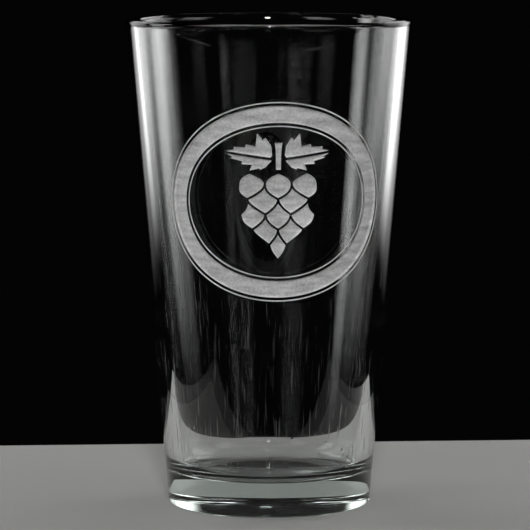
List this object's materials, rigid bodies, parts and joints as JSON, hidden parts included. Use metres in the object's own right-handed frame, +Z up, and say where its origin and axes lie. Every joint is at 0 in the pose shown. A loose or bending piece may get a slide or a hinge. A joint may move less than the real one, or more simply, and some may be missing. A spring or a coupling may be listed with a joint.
{
  "type": "pint glass",
  "caption": "Straight-sided conical drinking glass with a rounded rim, a thick solid base and a sand-carved frosted oval ring around a hop cone.",
  "frame": {"origin": "centre of the foot, on the plane that the glass stands on", "axes": "+Z up along the glass's axis, -Y out through the centre of the carved emblem, +X to the right of someone facing the emblem"},
  "size_m": [0.088, 0.088, 0.1495],
  "materials": {
    "clear_glass": "clear polished soda-lime glass, faint green in the thick base",
    "frosted_glass": "sand-carved, fine matte grain"
  },
  "bodies": {
    "root": {"glass_body": "clear_glass", "frosted_ring": "frosted_glass", "frosted_stem": "frosted_glass", "frosted_leaf_left_upper": "frosted_glass", "frosted_leaf_left_lower": "frosted_glass", "frosted_leaf_right_upper": "frosted_glass", "frosted_leaf_right_lower": "frosted_glass", "frosted_bract_row1_a": "frosted_glass", "frosted_bract_row1_b": "frosted_glass", "frosted_bract_row1_c": "frosted_glass", "frosted_bract_row2_a": "frosted_glass", "frosted_bract_row2_b": "frosted_glass", "frosted_bract_row3_a": "frosted_glass", "frosted_bract_row3_b": "frosted_glass", "frosted_bract_row3_c": "frosted_glass", "frosted_bract_row4_a": "frosted_glass", "frosted_bract_row4_b": "frosted_glass", "frosted_bract_row5_a": "frosted_glass"}
  },
  "joints": []
}
